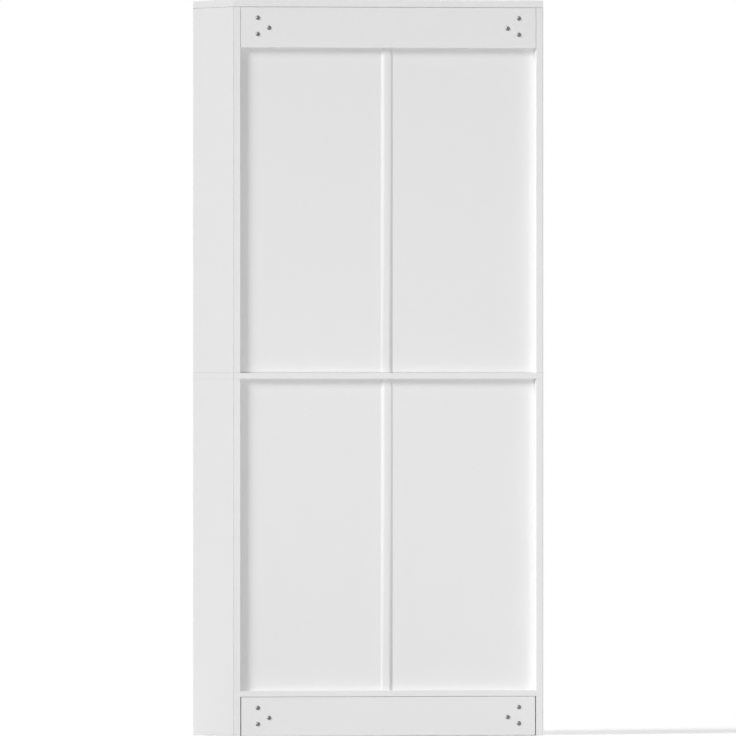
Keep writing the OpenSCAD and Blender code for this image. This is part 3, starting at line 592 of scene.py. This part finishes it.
# %% [markdown]
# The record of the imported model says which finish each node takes. The finishes could be given
# out by name here, but the record already holds that list, so dressing the bookcase is one loop
# over it.

# %% Dress every node
slot_of = {part["node"]: part["material_slot"] for part in frame["record"]["subparts"]}
for name, slot in slot_of.items():
    mesh = nodes[name].data
    mesh.materials.clear()
    mesh.materials.append(finishes[slot])
print("dressed", len(slot_of), "nodes")

# %% [markdown]
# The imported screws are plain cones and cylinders, which is all that a test of their fit needs. A
# real screw has a cross recess and a thread. A bump could fake both, but not their outline, so
# each screw is drawn anew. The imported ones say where: first a node is taken apart into its
# screws, by going from point to point along the edges until no new point turns up.

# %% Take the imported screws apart
MERGE = 0.002 * MM


def separate_solids(name):
    """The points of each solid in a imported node, one list for each solid."""
    shape = bmesh.new()
    shape.from_mesh(nodes[name].data)
    bmesh.ops.remove_doubles(shape, verts=shape.verts, dist=MERGE)
    unseen = set(shape.verts)
    solids = []
    for first in shape.verts:
        if first not in unseen:
            continue
        unseen.remove(first)
        waiting = [first]
        points = []
        while waiting:
            vertex = waiting.pop()
            points.append(vertex.co.copy())
            joined = {edge.other_vert(vertex) for edge in vertex.link_edges} & unseen
            unseen -= joined
            waiting.extend(joined)
        solids.append(points)
    shape.free()
    return solids


screw_nodes = [name for name in nodes if "screw" in name]
print({name: len(separate_solids(name)) for name in screw_nodes})

# %% [markdown]
# A packed screw tells all about itself: its long side is the axis, the end with its widest point
# is the head, and its outline is the list of its different depths and radii. Typing these in for
# every kind of screw would be quicker, but they would go wrong once a screw is changed.

# %% Read a packed screw
# Lengths are rounded to this many digits of a metre, a thousandth of a millimetre
DIGITS = 6


def read_screw(points):
    """The middle of a screw's head, the way its head faces, and its outline from the head down."""
    sides = [(min(p[i] for p in points), max(p[i] for p in points)) for i in range(3)]
    axis = max(range(3), key=lambda i: sides[i][1] - sides[i][0])
    centre = Vector([sum(side) / 2 for side in sides])

    def radius(point):
        off = point - centre
        off[axis] = 0
        return off.length

    head_up = max(points, key=radius)[axis] > centre[axis]
    head = centre.copy()
    head[axis] = sides[axis][1 if head_up else 0]
    facing = Vector((0, 0, 0))
    facing[axis] = 1 if head_up else -1
    depths = [round(abs(point[axis] - head[axis]), DIGITS) for point in points]
    radii = [round(radius(point), DIGITS) for point in points]
    # A point in the middle of the head isn't on the outline
    outline = set(zip(depths, radii)) - {(0, 0)}
    return head, facing, sorted(outline, key=lambda place: (place[0], -place[1]))


hinge_screw = read_screw(separate_solids("case_hinge_screws")[0])[2]
print("a hinge screw, depths and radii:", hinge_screw)

# %% [markdown]
# A screw is a turned shape, so it is drawn as rings of points joined by faces, upright, with the
# middle of its head at the origin. Blender's Screw modifier can wind a thread as well, but it
# leaves the ends open, while rings run on from the head into the thread and down to the tip.

# %% Rings of points
AROUND = 20


def add_ring(shape, depth, radii):
    angles = [2 * math.pi * i / AROUND for i in range(AROUND)]
    return [
        shape.verts.new((radius * math.cos(angle), radius * math.sin(angle), -depth))
        for angle, radius in zip(angles, radii)
    ]


def join_rings(shape, upper, lower):
    for i in range(len(upper)):
        shape.faces.new((upper[i - 1], upper[i], lower[i], lower[i - 1]))


print("points in a ring:", AROUND)

# %% [markdown]
# The cross recess is punched with sloping flanks, so it is narrower at its floor than at its
# mouth. A Boolean could cut it out of the head, but drawing the mouth first and then filling the
# head round it gives cleaner faces. All its sizes are shares of the head's radius, except that
# the floor is a share of the mouth.

# %% The cross recess
CROSS_ARM = 0.15
CROSS_REACH = 0.58
CROSS_DEPTH = 0.45
CROSS_TAPER = 0.55
FOUR_WAYS = ((1, 0), (0, 1), (-1, 0), (0, -1))


def add_cross(shape, arm, reach, depth):
    """The twelve corners of a cross."""
    corners = []
    for x, y in FOUR_WAYS:
        for along, aside in ((reach, -arm), (reach, arm), (arm, arm)):
            corners.append(shape.verts.new((along * x - aside * y, along * y + aside * x, -depth)))
    return corners


def add_recess(shape, rim, head_radius):
    """The flat of the head inside its rim, with the recess in its middle."""
    arm = CROSS_ARM * head_radius
    reach = CROSS_REACH * head_radius
    mouth = add_cross(shape, arm, reach, 0)
    bottom = add_cross(shape, arm * CROSS_TAPER, reach * CROSS_TAPER, CROSS_DEPTH * head_radius)
    join_rings(shape, mouth, bottom)
    shape.faces.new(bottom)
    edges = []
    for loop in (rim, mouth):
        for i in range(len(loop)):
            pair = (loop[i - 1], loop[i])
            edges.append(shape.edges.get(pair) or shape.edges.new(pair))
    bmesh.ops.triangle_fill(shape, edges=edges, use_beauty=True)


print("the recess reaches out to", CROSS_REACH, "of the head's radius")

# %% [markdown]
# Along the shank each point of a ring moves in and out with a cosine of its depth and its angle
# together, and that winds into a thread by itself. Bending a long ridge round the shank would do
# it too, but its ends would have to be closed. The pitch is a share of the shank's radius, and
# the groove is a share of the radius at its depth. So both suit every screw, and the groove
# gets shallow towards a pointed tip.

# %% Draw a screw
# How far the sharp edge of the head is broken
RIM = 0.18 * MM
# The neck is where the outline first gets narrower than this share of the head's radius
NECK_SHARE = 0.6
PITCH = 0.8
THREAD_DEPTH = 0.28
RINGS_PER_TURN = 4


def outline_radius(outline, depth):
    for (start, wide), (end, narrow) in zip(outline, outline[1:]):
        if start <= depth <= end and end > start:
            return wide + (narrow - wide) * (depth - start) / (end - start)
    return 0


def draw_head(shape, outline, neck):
    """Rings from the broken edge of the head down to its neck."""
    top_radius = outline[0][1]
    rings = [
        add_ring(shape, 0, [top_radius - 2 * RIM] * AROUND),
        add_ring(shape, RIM, [top_radius - RIM] * AROUND),
    ]
    for depth, radius in outline[1:neck + 1]:
        rings.append(add_ring(shape, depth, [radius] * AROUND))
    return rings


def draw_thread(shape, outline, neck):
    """Rings from below the neck down to the blunt tip."""
    start, shank_radius = outline[neck]
    end = outline[-1][0] - RIM
    pitch = PITCH * shank_radius
    steps = math.ceil((end - start) / pitch * RINGS_PER_TURN)
    rings = []
    for step in range(1, steps + 1):
        depth = start + (end - start) * step / steps
        crest = outline_radius(outline, depth)
        turns = [depth / pitch - i / AROUND for i in range(AROUND)]
        grooves = [THREAD_DEPTH * (0.5 - 0.5 * math.cos(2 * math.pi * turn)) for turn in turns]
        rings.append(add_ring(shape, depth, [crest * (1 - groove) for groove in grooves]))
    return rings


def draw_screw(outline):
    """A mesh of one screw with this outline, given as depths and radii."""
    shape = bmesh.new()
    head_radius = max(radius for depth, radius in outline)
    neck = next(i for i, place in enumerate(outline) if place[1] < NECK_SHARE * head_radius)
    rings = draw_head(shape, outline, neck) + draw_thread(shape, outline, neck)
    for upper, lower in zip(rings, rings[1:]):
        join_rings(shape, upper, lower)
    shape.faces.new(rings[-1])
    add_recess(shape, rings[0], head_radius)
    bmesh.ops.recalc_face_normals(shape, faces=shape.faces)
    mesh = bpy.data.meshes.new("screw")
    shape.to_mesh(mesh)
    shape.free()
    return mesh


drawn = draw_screw(hinge_screw)
print("one hinge screw:", len(drawn.vertices), "points")
bpy.data.meshes.remove(drawn)

# %% [markdown]
# Each screw could be an object of its own. Here the new screws of a node are one object, so they
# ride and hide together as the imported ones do.

# %% Set the screws in place
SHARP_ANGLE = math.radians(35)

bodies = frame["record"]["behaviour"]["bodies"]
body_of = {node: body for body, names in bodies.items() for node in names}

for name in screw_nodes:
    shape = bmesh.new()
    for points in separate_solids(name):
        head, facing, outline = read_screw(points)
        before = len(shape.verts)
        drawn = draw_screw(outline)
        shape.from_mesh(drawn)
        bpy.data.meshes.remove(drawn)
        shape.verts.ensure_lookup_table()
        turned = facing.to_track_quat("Z", "Y").to_matrix().to_4x4()
        place = Matrix.Translation(head) @ turned
        bmesh.ops.transform(shape, matrix=place, verts=shape.verts[before:])
    mesh = bpy.data.meshes.new(name)
    shape.to_mesh(mesh)
    shape.free()
    mesh.shade_smooth()
    mesh.set_sharp_from_angle(angle=SHARP_ANGLE)
    screws = bpy.data.objects.new(name + "_threaded", mesh)
    bpy.context.scene.collection.objects.link(screws)
    mesh.materials.append(finishes[slot_of[name]])
    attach(screws, body_of[name])
    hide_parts(name)
print("threaded screws in", len(screw_nodes), "nodes")

# %% [markdown]
# No real board has a knife-sharp corner. Film-wrapped board has an arris of about a third of a
# millimetre, painted doors are sanded rounder, and stamped steel is tumbled. The corners could be
# rounded in the mesh itself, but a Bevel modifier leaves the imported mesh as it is. A Weld before
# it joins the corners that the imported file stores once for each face, and a Decimate makes one
# face of the triangles of each flat side, so that the Bevel finds only the real edges.

# %% Soften the edges
FLAT_ANGLE = math.radians(0.5)
ARRIS_ANGLE = math.radians(40)
BOARD_STEPS = 2
DOOR_STEPS = 3

# The names of nodes start with these words
ARRIS_MM = {
    "top_panel": 0.35, "middle_shelf": 0.35, "bottom_shelf": 0.35, "front_plinth": 0.35,
    "side_panel": 0.35, "back_rail": 0.35, "adjustable_shelf": 0.35, "back_panel": 0.2,
    "joiner_strip": 0.25, "catch_housing": 0.5, "rail_bracket": 0.3,
}
# The names of the parts of a door end with these
DOOR_ARRIS_MM = {"stile": 1.2, "rail": 1.2, "panel": 0.6}


def soften(name, width_mm, steps):
    piece = nodes[name]
    weld = piece.modifiers.new("weld", "WELD")
    weld.merge_threshold = MERGE
    flatten = piece.modifiers.new("flatten", "DECIMATE")
    flatten.decimate_type = "DISSOLVE"
    flatten.angle_limit = FLAT_ANGLE
    arris = piece.modifiers.new("arris", "BEVEL")
    arris.width = width_mm * MM
    arris.segments = steps
    arris.limit_method = "ANGLE"
    arris.angle_limit = ARRIS_ANGLE
    arris.use_clamp_overlap = False
    arris.loop_slide = False
    arris.harden_normals = True


for name in nodes:
    for start, width_mm in ARRIS_MM.items():
        if name.startswith(start):
            soften(name, width_mm, BOARD_STEPS)
    for end, width_mm in DOOR_ARRIS_MM.items():
        if name.startswith("door_") and name.endswith(end):
            soften(name, width_mm, DOOR_STEPS)
print("softened", sum(1 for piece in nodes.values() if piece.modifiers), "nodes")
